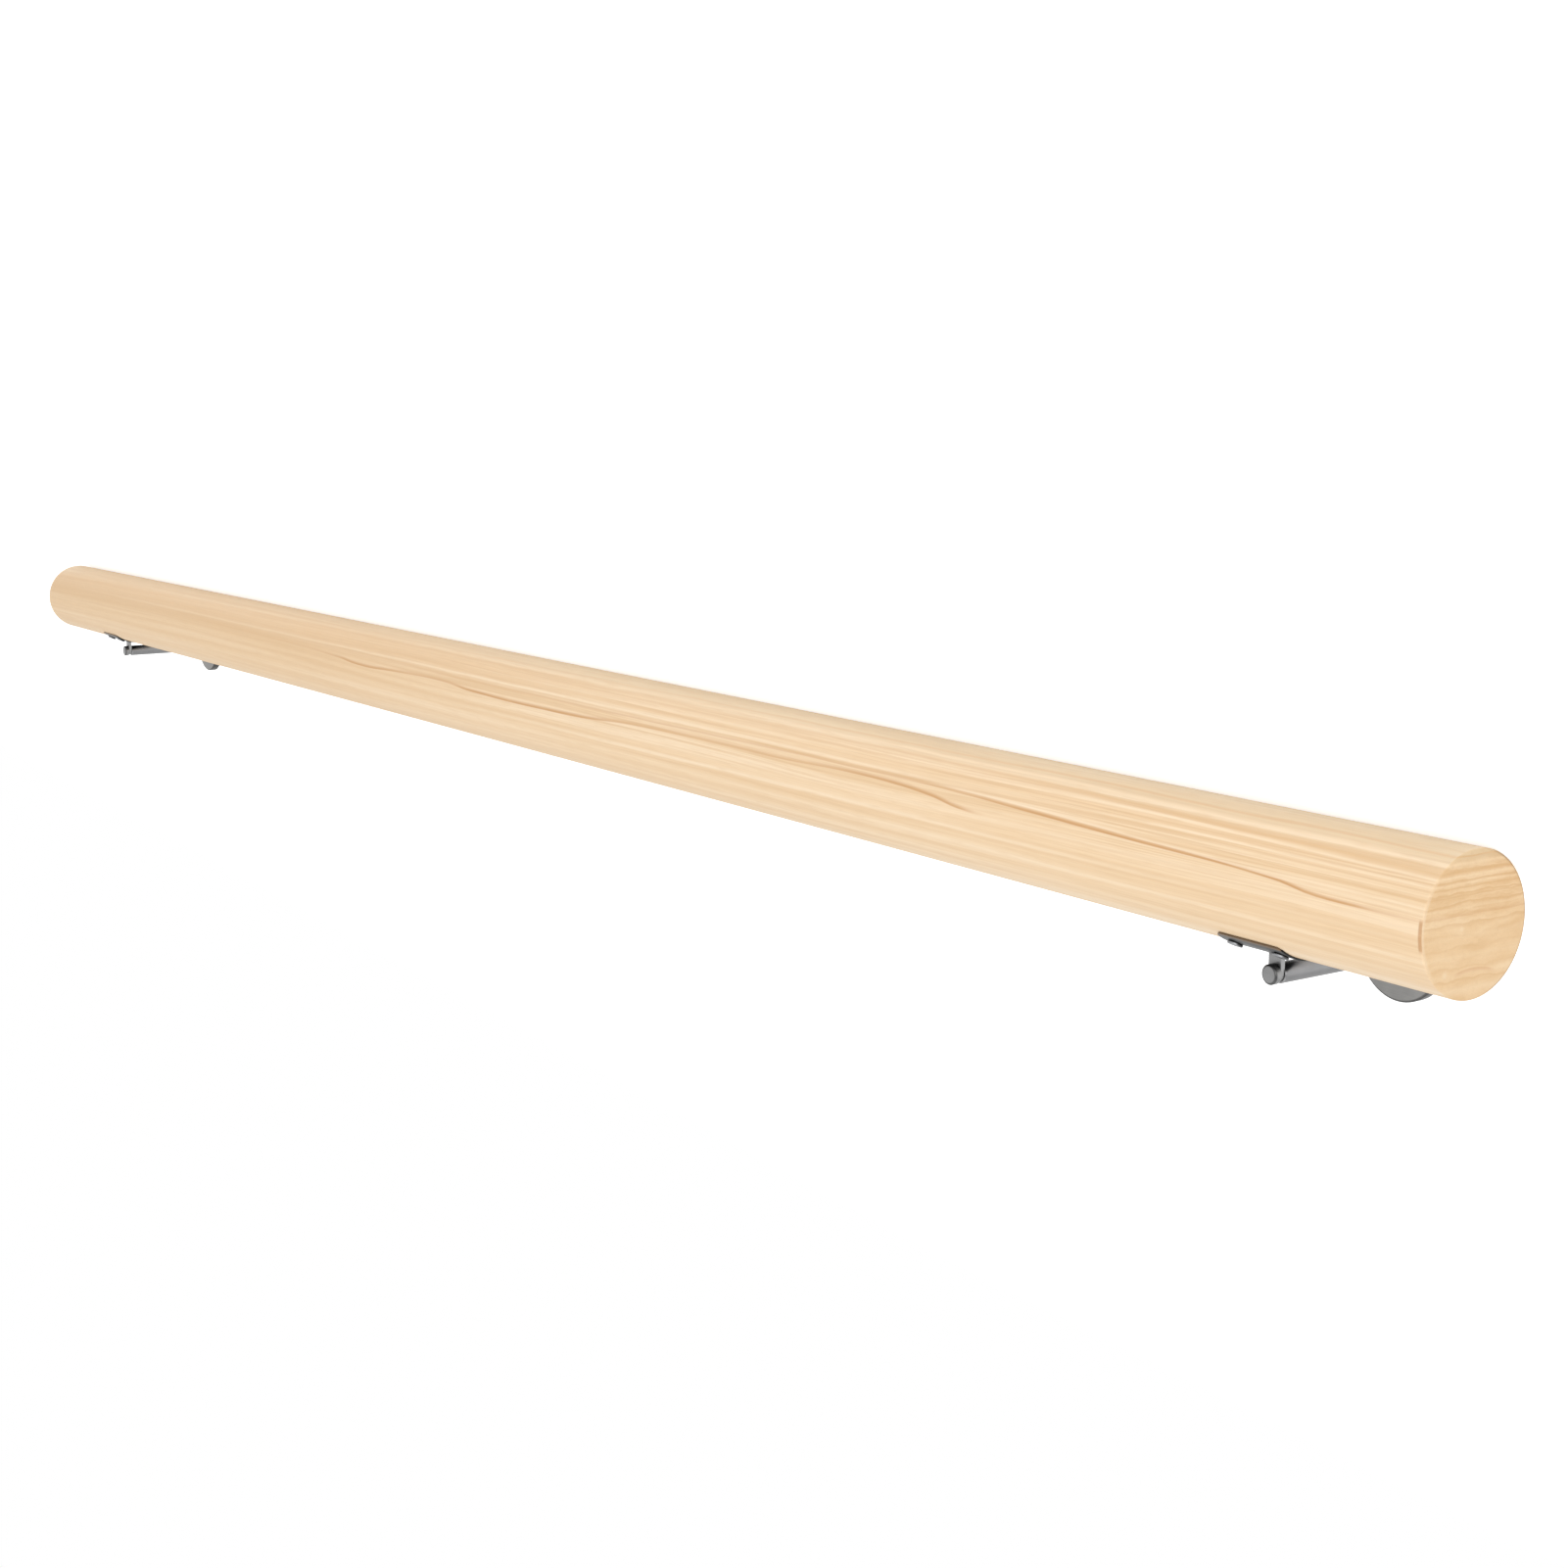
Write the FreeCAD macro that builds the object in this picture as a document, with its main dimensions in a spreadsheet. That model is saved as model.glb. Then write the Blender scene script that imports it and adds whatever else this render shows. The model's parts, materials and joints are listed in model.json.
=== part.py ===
import FreeCAD, Part
import math
import os

import Sketcher

# A round wooden wall handrail, 1.2 m long, screwed to two metal wall brackets.
# Each piece is drawn as it hangs on its wall: X along the rail, Y towards the wall, Z up,
# with the rail's axis on X. The finished assembly is then turned over to lie as it rests on
# a floor: on the rail's back and on the rims of both rosettes.

# Driving dimensions in millimetres
SIZES = {
    "rail_length": 1200,
    "rail_diameter": 42,
    "rail_edge_chamfer": 0.6,
    "left_inset": 103.5,
    "right_inset": 70,
    "hand_clearance": 34.4,
    "arm_clearance": 3.88,
    "arm_diameter": 6.3,
    "arm_chamfer": 0.4,
    "seat_gap": 0.1,
    "saddle_thickness": 0.5,
    "saddle_length": 26,
    "saddle_width": 27.2,
    "saddle_corner_radius": 2,
    "lug_width": 5,
    "lug_thickness": 1.6,
    "lug_forward": 2.1,
    "lug_weld_radius": 0.8,
    "screw_spacing": 18.4,
    "screw_tilt": 25,
    "screw_head_diameter": 4.8,
    "screw_head_height": 0.8,
    "screw_shank_diameter": 2.8,
    "screw_length": 12,
    "pilot_extra_depth": 1,
    "hole_clearance": 0.15,
    "bolt_head_diameter": 6.2,
    "bolt_head_height": 2.4,
    "bolt_head_chamfer": 0.4,
    "bolt_shank_diameter": 2.8,
    "bolt_grip": 9,
    "rosette_diameter": 32.9,
    "rosette_thickness": 4,
    "rosette_edge_chamfer": 0.4,
    "spigot_diameter": 4.8,
    "wall_hole_circle": 21,
    "wall_hole_diameter": 4.2,
    "wall_countersink_diameter": 7.6,
}

# Values worked out from the driving dimensions
DERIVED = {
    "rail_radius": "sizes.rail_diameter / 2",
    "left_x": "sizes.left_inset - sizes.rail_length / 2",
    "right_x": "sizes.rail_length / 2 - sizes.right_inset",
    "arm_drop": "rail_radius + sizes.arm_clearance + sizes.arm_diameter / 2",
    "wall_y": "rail_radius + sizes.hand_clearance",
    "rosette_front_y": "wall_y - sizes.rosette_thickness",
    "saddle_inner_radius": "rail_radius + sizes.seat_gap",
    "saddle_outer_radius": "saddle_inner_radius + sizes.saddle_thickness",
    "lug_top": "saddle_inner_radius + sizes.saddle_thickness / 2",
    "lug_back_y": "sizes.lug_thickness - sizes.lug_forward",
    "bolt_front_y": "-sizes.lug_forward - sizes.bolt_head_height",
    "pilot_end_radius": "saddle_outer_radius - sizes.screw_length - sizes.pilot_extra_depth",
    "rim_z": "sizes.rosette_diameter / 2 - arm_drop",
    "lean": "asin(rail_radius / sqrt(wall_y ^ 2 + rim_z ^ 2)) - atan2(rim_z; wall_y)",
    "reach": "wall_y * cos(lean) + (arm_drop + sizes.rosette_diameter / 2) * sin(lean)",
    "centre_y": "(reach - rail_radius) / 2",
}

# Two lengths closer than this are taken as equal
SAME = 1e-4

# Where each bracket is along the rail, and how far each row of its saddle's screws is swung round it
BRACKETS = {"left": "derived.left_x", "right": "derived.right_x"}
SCREW_ROWS = {"front": "-sizes.screw_tilt", "back": "sizes.screw_tilt"}

doc = FreeCAD.newDocument("wall_handrail")


def fill_sheet(name, rows, as_formula):
    """One sheet row for each value: its name in column A, the value in column B."""
    sheet = doc.addObject("Spreadsheet::Sheet", name)
    for row, (alias, value) in enumerate(rows.items(), start=1):
        sheet.set(f"A{row}", alias)
        sheet.setAlias(f"B{row}", alias)
        sheet.set(f"B{row}", f"={value}" if as_formula else str(value))
    doc.recompute()
    return sheet


sizes = fill_sheet("sizes", SIZES, as_formula=False)
derived = fill_sheet("derived", DERIVED, as_formula=True)


def value_of(expression):
    """The number that an expression over the two sheets gives."""
    probe = doc.addObject("Part::Vertex", "probe")
    probe.setExpression("X", expression)
    doc.recompute()
    number = float(probe.X)
    doc.removeObject("probe")
    return number


def new_body(name):
    body = doc.addObject("PartDesign::Body", name)
    body.Label = name
    return body


def new_sketch(body, name, role, offset="0", tilt="0"):
    """A sketch on one of the body's own origin planes, tilted about its X, then moved along its normal."""
    plane = next(feature for feature in body.Origin.OriginFeatures if feature.Role == role)
    sketch = body.newObject("Sketcher::SketchObject", name)
    sketch.AttachmentSupport = [(plane, "")]
    sketch.MapMode = "FlatFace"
    sketch.setExpression("AttachmentOffset",
                         f"placement(vector(0; 0; 0); rotation(vector(1; 0; 0); {tilt})) * "
                         f"placement(vector(0; 0; {offset}); rotation(vector(1; 0; 0); 0))")
    doc.recompute()
    return sketch


def bind(sketch, constraint, expression):
    """Adds a dimension to the sketch and ties it to an expression."""
    index = sketch.addConstraint(constraint)
    sketch.setExpression(f"Constraints[{index}]", expression)


def pin_coordinate(sketch, geometry, point, kind, expression, axis):
    """Ties one coordinate of a sketch point to an expression, or to an axis where it is 0."""
    if expression == "0":
        sketch.addConstraint(Sketcher.Constraint("PointOnObject", geometry, point, axis))
        return
    number = value_of(expression)
    if number > 0:
        bind(sketch, Sketcher.Constraint(kind, -1, 1, geometry, point, number), expression)
    else:
        bind(sketch, Sketcher.Constraint(kind, geometry, point, -1, 1, -number), f"-({expression})")


def pin_across(sketch, geometry, point, across):
    pin_coordinate(sketch, geometry, point, "DistanceX", across, -2)


def pin_point(sketch, geometry, point, across, up):
    """Ties a sketch point to its two coordinates, each an expression or 0."""
    pin_across(sketch, geometry, point, across)
    pin_coordinate(sketch, geometry, point, "DistanceY", up, -1)


def add_outline(sketch, corners):
    """A closed outline of straight lines through corners given as pairs of expressions."""
    places = [FreeCAD.Vector(*(0.0 if e == "0" else value_of(e) for e in corner), 0) for corner in corners]
    lines = [sketch.addGeometry(Part.LineSegment(start, end))
             for start, end in zip(places, places[1:] + places[:1])]
    for line, following in zip(lines, lines[1:] + lines[:1]):
        sketch.addConstraint(Sketcher.Constraint("Coincident", line, 2, following, 1))
    for line, corner in zip(lines, corners):
        pin_point(sketch, line, 1, *corner)


def add_circle(sketch, across, up, diameter):
    """A circle tied to its centre and its diameter."""
    centre = FreeCAD.Vector(*(0.0 if e == "0" else value_of(e) for e in (across, up)), 0)
    circle = sketch.addGeometry(Part.Circle(centre, FreeCAD.Vector(0, 0, 1), value_of(diameter) / 2))
    bind(sketch, Sketcher.Constraint("Diameter", circle, value_of(diameter)), diameter)
    pin_point(sketch, circle, 3, across, up)


def add_screw_holes(sketch, bracket):
    """The holes for one row of a saddle's screws, one on each side of its bracket's lug."""
    for step in ("-", "+"):
        add_circle(sketch, f"{bracket} {step} sizes.screw_spacing / 2", "0",
                   "sizes.screw_shank_diameter + 2 * sizes.hole_clearance")


def turn(body, sketch, axis):
    """Revolves a half section a full turn about one of its sketch's axes."""
    turned = body.newObject("PartDesign::Revolution", f"{body.Name}_turned")
    turned.Profile = sketch
    turned.ReferenceAxis = (sketch, [axis])
    turned.Angle = 360
    doc.recompute()
    return turned


def pad(body, sketch, length, both_ways=False, reverse=False):
    padded = body.newObject("PartDesign::Pad", f"{sketch.Name}_pad")
    padded.Profile = sketch
    padded.setExpression("Length", length)
    padded.Midplane = both_ways
    padded.Reversed = reverse
    doc.recompute()
    return padded


def cut_through(body, sketch):
    """Cuts a sketch's circles through all that lies on the far side of its plane."""
    before = body.Shape.Volume
    pocket = body.newObject("PartDesign::Pocket", f"{sketch.Name}_cut")
    pocket.Profile = sketch
    pocket.Type = "ThroughAll"
    doc.recompute()
    if not pocket.Shape.Volume < before:
        raise RuntimeError(f"{pocket.Name} cuts nothing")
    return pocket


def finish_edges(body, kind, name, size, wanted):
    """Rounds or chamfers the edges of the body that wanted(edge) picks."""
    base = body.Tip
    picked = [f"Edge{i}" for i, edge in enumerate(base.Shape.Edges, start=1) if wanted(edge)]
    if not picked:
        raise RuntimeError(f"no edge for {name}")
    dressed = body.newObject(f"PartDesign::{kind}", name)
    dressed.Base = (base, picked)
    dressed.setExpression("Radius" if kind == "Fillet" else "Size", size)
    doc.recompute()
    return dressed


def is_rim(edge, radius):
    """True for a full circle of the given radius."""
    return isinstance(edge.Curve, Part.Circle) and edge.isClosed() and abs(edge.Curve.Radius - radius) < SAME


def place(body, across, drop="0", tilt="0"):
    """Places a piece in the rail's frame: along the rail, swung round it by a tilt and then dropped."""
    body.setExpression("Placement", "rail.Placement * "
                       f"placement(vector({across}; 0; 0); rotation(vector(1; 0; 0); {tilt})) * "
                       f"placement(vector(0; 0; -({drop})); rotation(vector(1; 0; 0); 0))")


def make_rail():
    """The round rail, with eased ends and a pilot hole for every saddle screw."""
    rail = new_body("rail")
    section = new_sketch(rail, "rail_section", "YZ_Plane")
    add_circle(section, "0", "0", "sizes.rail_diameter")
    pad(rail, section, "sizes.rail_length", both_ways=True)
    finish_edges(rail, "Chamfer", "rail_ends", "sizes.rail_edge_chamfer",
                 lambda edge: is_rim(edge, value_of("derived.rail_radius")))
    for row, tilt in SCREW_ROWS.items():
        holes = new_sketch(rail, f"pilot_holes_{row}", "XY_Plane", "-derived.pilot_end_radius", tilt)
        for bracket in BRACKETS.values():
            add_screw_holes(holes, bracket)
        cut_through(rail, holes)
    rail.setExpression("Placement", "placement(vector(0; -derived.centre_y; derived.rail_radius); "
                       "rotation(vector(0; 1; 0); 180)) * "
                       "placement(vector(0; 0; 0); rotation(vector(1; 0; 0); derived.lean))")
    return rail


def add_band(sketch, radii, ends):
    """A curved band between two arcs about the sketch's origin, closed by two radial ends.

    Each end is the direction, in degrees, that its line has from the origin."""
    arcs = []
    for radius in radii:
        circle = Part.Circle(FreeCAD.Vector(0, 0, 0), FreeCAD.Vector(0, 0, 1), value_of(radius))
        arc = sketch.addGeometry(Part.ArcOfCircle(circle, *(math.radians(end) for end in ends)))
        bind(sketch, Sketcher.Constraint("Radius", arc, value_of(radius)), radius)
        pin_point(sketch, arc, 3, "0", "0")
        arcs.append(arc)
    lines = []
    for point in (1, 2):
        line = sketch.addGeometry(Part.LineSegment(*(sketch.getPoint(arc, point) for arc in arcs)))
        for spot, arc in enumerate(arcs, start=1):
            sketch.addConstraint(Sketcher.Constraint("Coincident", line, spot, arc, point))
        sketch.addConstraint(Sketcher.Constraint("PointOnObject", arcs[0], 3, line))
        lines.append(line)
    return lines


def add_saddle_section(sketch):
    """The saddle's curved section, which hugs the rail as far in front as behind."""
    radii = ("derived.saddle_inner_radius", "derived.saddle_outer_radius")
    half_turn = math.degrees(math.asin(value_of("sizes.saddle_width / 2") / value_of(radii[0])))
    front_line, back_line = add_band(sketch, radii, (-90 - half_turn, -90 + half_turn))
    for line, across in ((front_line, "-sizes.saddle_width / 2"), (back_line, "sizes.saddle_width / 2")):
        pin_across(sketch, line, 1, across)


def add_lug_outline(sketch):
    """The round-ended lug, from inside the saddle's thickness down to the bolt's hole."""
    half = value_of("sizes.lug_width / 2")
    drop = value_of("derived.arm_drop")
    top = -value_of("derived.lug_top")
    corners = [FreeCAD.Vector(half, -drop, 0), FreeCAD.Vector(half, top, 0),
               FreeCAD.Vector(-half, top, 0), FreeCAD.Vector(-half, -drop, 0)]
    sides = [sketch.addGeometry(Part.LineSegment(*pair)) for pair in zip(corners, corners[1:])]
    circle = Part.Circle(FreeCAD.Vector(0, -drop, 0), FreeCAD.Vector(0, 0, 1), half)
    end = sketch.addGeometry(Part.ArcOfCircle(circle, -math.pi, 0))
    for line, following in zip(sides, sides[1:]):
        sketch.addConstraint(Sketcher.Constraint("Coincident", line, 2, following, 1))
    sketch.addConstraint(Sketcher.Constraint("Tangent", sides[-1], 2, end, 1))
    sketch.addConstraint(Sketcher.Constraint("Tangent", end, 2, sides[0], 1))
    sketch.addConstraint(Sketcher.Constraint("Vertical", sides[0]))
    sketch.addConstraint(Sketcher.Constraint("Vertical", sides[-1]))
    sketch.addConstraint(Sketcher.Constraint("Horizontal", sides[1]))
    bind(sketch, Sketcher.Constraint("Radius", end, half), "sizes.lug_width / 2")
    pin_point(sketch, end, 3, "0", "-derived.arm_drop")
    bind(sketch, Sketcher.Constraint("DistanceY", sides[1], 1, -1, 1, -top), "derived.lug_top")
    add_circle(sketch, "0", "-derived.arm_drop", "sizes.bolt_shank_diameter + 2 * sizes.hole_clearance")


def make_saddle(side, across):
    """A thin plate curved round the rail's underside, with four screw holes and the lug welded below it."""
    saddle = new_body(f"saddle_{side}")
    section = new_sketch(saddle, f"saddle_section_{side}", "YZ_Plane")
    add_saddle_section(section)
    pad(saddle, section, "sizes.saddle_length", both_ways=True)
    half = value_of("sizes.saddle_length / 2")

    def is_corner(edge):
        return (isinstance(edge.Curve, Part.Line) and edge.Length < half
                and all(abs(abs(vertex.Point.x) - half) < SAME for vertex in edge.Vertexes))

    finish_edges(saddle, "Fillet", f"saddle_corners_{side}", "sizes.saddle_corner_radius", is_corner)
    for row, tilt in SCREW_ROWS.items():
        holes = new_sketch(saddle, f"saddle_holes_{side}_{row}", "XY_Plane", tilt=tilt)
        add_screw_holes(holes, "0")
        cut_through(saddle, holes)
    lug = new_sketch(saddle, f"lug_outline_{side}", "XZ_Plane", offset="sizes.lug_forward")
    add_lug_outline(lug)
    pad(saddle, lug, "sizes.lug_thickness", reverse=True)
    outer, reach = value_of("derived.saddle_outer_radius"), value_of("sizes.lug_width / 2")

    def is_weld(edge):
        return isinstance(edge.Curve, Part.Line) and all(
            abs(math.hypot(vertex.Point.y, vertex.Point.z) - outer) < SAME
            and abs(abs(vertex.Point.x) - reach) < SAME for vertex in edge.Vertexes)

    finish_edges(saddle, "Fillet", f"lug_weld_{side}", "sizes.lug_weld_radius", is_weld)
    place(saddle, across)


def make_saddle_screw(name, across, tilt):
    """A low-headed wood screw that holds the saddle up against the rail."""
    screw = new_body(name)
    section = new_sketch(screw, f"{name}_section", "XZ_Plane")
    head, shank = "sizes.screw_head_diameter / 2", "sizes.screw_shank_diameter / 2"
    add_outline(section, [("0", "-sizes.screw_head_height"), (head, "-sizes.screw_head_height"), (head, "0"),
                          (shank, "0"), (shank, "sizes.screw_length"), ("0", "sizes.screw_length")])
    turn(screw, section, "V_Axis")
    place(screw, across, "derived.saddle_outer_radius", tilt)


def make_arm(side, across):
    """The round rod from the lug back to the wall, with a spigot that sits in the rosette."""
    arm = new_body(f"arm_{side}")
    section = new_sketch(arm, f"arm_section_{side}", "YZ_Plane")
    rod, spigot = "sizes.arm_diameter / 2", "sizes.spigot_diameter / 2"
    bore = "(sizes.bolt_shank_diameter / 2 + sizes.hole_clearance)"
    bore_end = "(derived.lug_back_y + sizes.bolt_grip)"
    add_outline(section, [("derived.lug_back_y", bore), ("derived.lug_back_y", rod),
                          ("derived.rosette_front_y", rod), ("derived.rosette_front_y", spigot),
                          ("derived.wall_y", spigot), ("derived.wall_y", "0"),
                          (f"{bore_end} + {bore}", "0"), (bore_end, bore)])
    turn(arm, section, "H_Axis")
    radius, front = value_of(rod), value_of("derived.lug_back_y")
    finish_edges(arm, "Chamfer", f"arm_front_{side}", "sizes.arm_chamfer",
                 lambda edge: is_rim(edge, radius) and abs(edge.Curve.Center.y - front) < SAME)
    place(arm, across, "derived.arm_drop")


def make_arm_bolt(side, across):
    """The low round-headed bolt that clamps the lug to the front end of the arm."""
    bolt = new_body(f"arm_bolt_{side}")
    section = new_sketch(bolt, f"arm_bolt_section_{side}", "YZ_Plane")
    head, shank = "sizes.bolt_head_diameter / 2", "sizes.bolt_shank_diameter / 2"
    tip = "derived.lug_back_y + sizes.bolt_grip - sizes.hole_clearance"
    add_outline(section, [("derived.bolt_front_y", "0"), ("derived.bolt_front_y", head),
                          ("-sizes.lug_forward", head), ("-sizes.lug_forward", shank),
                          (tip, shank), (tip, "0")])
    turn(bolt, section, "H_Axis")
    radius, front = value_of(head), value_of("derived.bolt_front_y")
    finish_edges(bolt, "Chamfer", f"arm_bolt_rim_{side}", "sizes.bolt_head_chamfer",
                 lambda edge: is_rim(edge, radius) and abs(edge.Curve.Center.y - front) < SAME)
    place(bolt, across, "derived.arm_drop")


def make_rosette(side, across):
    """The round flange on the wall, with a countersunk screw hole on each side of the arm."""
    rosette = new_body(f"rosette_{side}")
    section = new_sketch(rosette, f"rosette_section_{side}", "YZ_Plane")
    bore, rim = "sizes.spigot_diameter / 2 + sizes.hole_clearance", "sizes.rosette_diameter / 2"
    add_outline(section, [("derived.rosette_front_y", bore), ("derived.rosette_front_y", rim),
                          ("derived.wall_y", rim), ("derived.wall_y", bore)])
    turn(rosette, section, "H_Axis")
    radius, front = value_of(rim), value_of("derived.rosette_front_y")
    finish_edges(rosette, "Chamfer", f"rosette_rim_{side}", "sizes.rosette_edge_chamfer",
                 lambda edge: is_rim(edge, radius) and abs(edge.Curve.Center.y - front) < SAME)
    sink = new_sketch(rosette, f"wall_hole_section_{side}", "XY_Plane")
    centre = "sizes.wall_hole_circle / 2"
    wide, narrow = "sizes.wall_countersink_diameter / 2", "sizes.wall_hole_diameter / 2"
    throat = f"derived.rosette_front_y + {wide} - {narrow}"
    add_outline(sink, [(f"{centre} + {wide}", "derived.rosette_front_y"), (f"{centre} + {narrow}", throat),
                       (f"{centre} + {narrow}", "derived.wall_y"), (centre, "derived.wall_y"),
                       (centre, "derived.rosette_front_y")])
    before = rosette.Shape.Volume
    hole = rosette.newObject("PartDesign::Groove", f"wall_hole_{side}")
    hole.Profile = sink
    hole.ReferenceAxis = (sink, ["Edge4"])
    hole.Angle = 360
    doc.recompute()
    pair = rosette.newObject("PartDesign::Mirrored", f"wall_holes_{side}")
    pair.Originals = [hole]
    pair.MirrorPlane = (sink, ["V_Axis"])
    rosette.Tip = pair
    doc.recompute()
    if not pair.Shape.Volume < hole.Shape.Volume < before:
        raise RuntimeError(f"the wall holes of rosette_{side} cut nothing")
    place(rosette, across, "derived.arm_drop")


make_rail()
for side, bracket in BRACKETS.items():
    make_saddle(side, bracket)
    make_arm(side, bracket)
    make_arm_bolt(side, bracket)
    make_rosette(side, bracket)
    screws = [(f"{bracket} {step} sizes.screw_spacing / 2", tilt)
              for tilt in SCREW_ROWS.values() for step in ("-", "+")]
    for number, (across, tilt) in enumerate(screws, start=1):
        make_saddle_screw(f"saddle_screw_{side}_{number}", across, tilt)
doc.recompute()

for item in doc.Objects:
    if "Invalid" in item.State or "Error" in item.State:
        raise RuntimeError(f"{item.Name} failed: {item.State}")

os.makedirs("parts", exist_ok=True)
for body in doc.findObjects("PartDesign::Body"):
    if body.Shape.isNull() or not body.Shape.isValid():
        raise RuntimeError(f"{body.Label} has no valid shape")
    body.Shape.exportStep(f"parts/{body.Label}.step")
    box = body.Shape.BoundBox
    print(f"{body.Label}: {body.Shape.Volume:.1f} mm3, z {box.ZMin:.2f} to {box.ZMax:.2f}")
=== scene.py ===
import json
import math

import bmesh
import bpy
from mathutils import Matrix, Vector


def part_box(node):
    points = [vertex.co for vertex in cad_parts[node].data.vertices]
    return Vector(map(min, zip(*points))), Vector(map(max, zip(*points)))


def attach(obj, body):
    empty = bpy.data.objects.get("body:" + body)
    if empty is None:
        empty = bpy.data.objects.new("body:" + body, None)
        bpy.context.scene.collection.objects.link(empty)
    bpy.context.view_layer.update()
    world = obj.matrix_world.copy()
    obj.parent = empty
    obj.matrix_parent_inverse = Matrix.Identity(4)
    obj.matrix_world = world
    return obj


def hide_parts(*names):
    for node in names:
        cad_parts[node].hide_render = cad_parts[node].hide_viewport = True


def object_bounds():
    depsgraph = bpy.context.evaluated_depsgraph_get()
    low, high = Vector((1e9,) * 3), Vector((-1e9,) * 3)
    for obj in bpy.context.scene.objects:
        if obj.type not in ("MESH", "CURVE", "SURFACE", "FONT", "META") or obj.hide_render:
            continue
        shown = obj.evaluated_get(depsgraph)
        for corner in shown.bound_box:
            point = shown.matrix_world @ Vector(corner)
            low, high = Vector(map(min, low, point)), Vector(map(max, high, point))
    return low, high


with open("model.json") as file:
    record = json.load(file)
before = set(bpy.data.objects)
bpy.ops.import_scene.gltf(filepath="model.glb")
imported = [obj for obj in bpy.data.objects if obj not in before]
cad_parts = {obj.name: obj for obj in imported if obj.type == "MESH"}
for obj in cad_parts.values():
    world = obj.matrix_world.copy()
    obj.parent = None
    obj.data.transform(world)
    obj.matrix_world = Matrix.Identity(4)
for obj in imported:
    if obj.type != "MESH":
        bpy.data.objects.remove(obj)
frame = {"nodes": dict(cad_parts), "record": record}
cad_low, cad_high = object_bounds()

MM = 0.001

# The rail as it lies on the floor
rail_low, rail_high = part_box("rail")
RAIL_RADIUS = (rail_high.z - rail_low.z) / 2
RAIL_HALF = (rail_high.x - rail_low.x) / 2
RAIL_CENTRE = (rail_low + rail_high) / 2

# The hanging frame: X along the rail to its near end, Y to the wall, Z up, centre on the rail's axis.
# The pieces are drawn in it as they hang on a wall, and HANG lays them down as the rail rests.
wall_axis = next(m["axis"] for m in frame["record"]["mounts"] if m["name"] == "wall_face_left")
LEAN = math.atan2(-wall_axis[2], wall_axis[1])
HANG = (Matrix.Translation(RAIL_CENTRE) @ Matrix.Rotation(math.pi, 4, "Y")
        @ Matrix.Rotation(LEAN, 4, "X"))
UNHANG = HANG.inverted()
TOWARD_WALL = Vector((0, 1, 0))

# Camera, in the hanging frame, from the centre of the rail's near end. The focal length is in pixels of a
# picture that is IMAGE_SIDE wide.
CAMERA_SPOT = Vector((402.41, -493.49, 141.98)) * MM
CAMERA_YAW = math.radians(56.074)
CAMERA_PITCH = math.radians(9.663)
FOCAL_PIXELS = 2381.6
IMAGE_SIDE = 1601
SENSOR_MM = 36

# Light from all round on the object, and the floor's grey, its glow and its further glow where it is seen
AMBIENT = 0.66
FLOOR_TONE = 0.9
FLOOR_GLOW = 0.1
FLOOR_SEEN = 0.6
FLOOR_GAP = 0.05 * MM
FLOOR_REACH = 6.0
WHITE = (1.0, 1.0, 1.0, 1.0)

# Growth layers, in millimetres: their spacing, and how far they wander, ripple on the sawn ends and vary
RING_STEP = 3.1
LAYER_WANDER = 5.0
LAYER_RIPPLE = 3.0
LAYER_UNEVEN = 4.5

# Wood colours as they look on screen, 0 to 255
WOOD_TONES = {
    "base": (244, 215, 177),
    "cream": (254, 232, 202),
    "tan": (228, 192, 147),
    "dark": (206, 154, 100),
    "top": (232, 221, 196),
    "sawn": (252, 246, 235),
    "shaded_arris": (160, 126, 92),
    "bruise": (190, 138, 90),
    "arc": (222, 176, 132),
}

# Marks on the sawn end, in millimetres: a pressed arc's depth below the axis and its bend, and pale spots'
# places across and above the axis, each with its radius
ARC_DEPTH = 12.0
ARC_BEND = 0.018
PALE_SPOTS = ((-11.0, -12.4, 1.4), (-5.0, -0.6, 1.0))

# Steel, in millimetres: its brush marks and clouds, the heights above the arm between which the saddle's
# plate turns dark with painted shade, and the slope of the line above which the arm carries a painted
# reflection of that plate
BRUSH_LENGTH = 9
BRUSH_WIDTH = 0.25
CLOUD_SIZE = 6
PLATE_FOOT = 5.2
PLATE_DARK = 7.0
PAINTED_REFLECTION_SLOPE = 0.41
# The brown of the painted contact shadow along the saddle's long edges
EDGE_SHADOW_BROWN = (116, 99, 82)

# Rounded corners and turned pieces: lengths in millimetres, and how many segments, stations or steps.
# An arm's corners within ARM_BORE of its axis are its bore's, and SCREW_NECK is plain below a screw's head.
RAIL_ARRIS = 0.6
METAL_ARRIS = 0.15
HEAD_ROUND = 0.35
RAIL_SEGMENTS = 256
RAIL_STATIONS = 160
METAL_SEGMENTS = 72
ARRIS_SEGMENTS = 3
ARM_BORE = 2.0
SCREW_PITCH = 1.0
SCREW_POINT = 2.2
SCREW_NECK = 1.5
THREAD_DEPTH = 0.22
THREAD_STEPS = 8
CROSS_LENGTH = 2.5
CROSS_WIDTH = 0.55
CROSS_DEPTH = 0.5
CROSS_TAPER = 0.6

# How near two points of a profile, of a mesh and of a cut mesh have to be to be one, in millimetres
SAME_CORNER = 0.05
SAME_POINT = 1e-4
SAME_CUT_POINT = 1e-3

# The bend in radians up to which a profile runs straight on, and how much of a side a rounded corner takes
STRAIGHT_BEND = 0.1
CORNER_SHARE = 0.35

# The angles up to which two faces count as flat, and from which their edge is bevelled or shaded sharp
FLAT_ANGLE = math.radians(0.5)
BEVEL_ANGLE = math.radians(35)
SHARP_ANGLE = math.radians(38)

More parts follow.
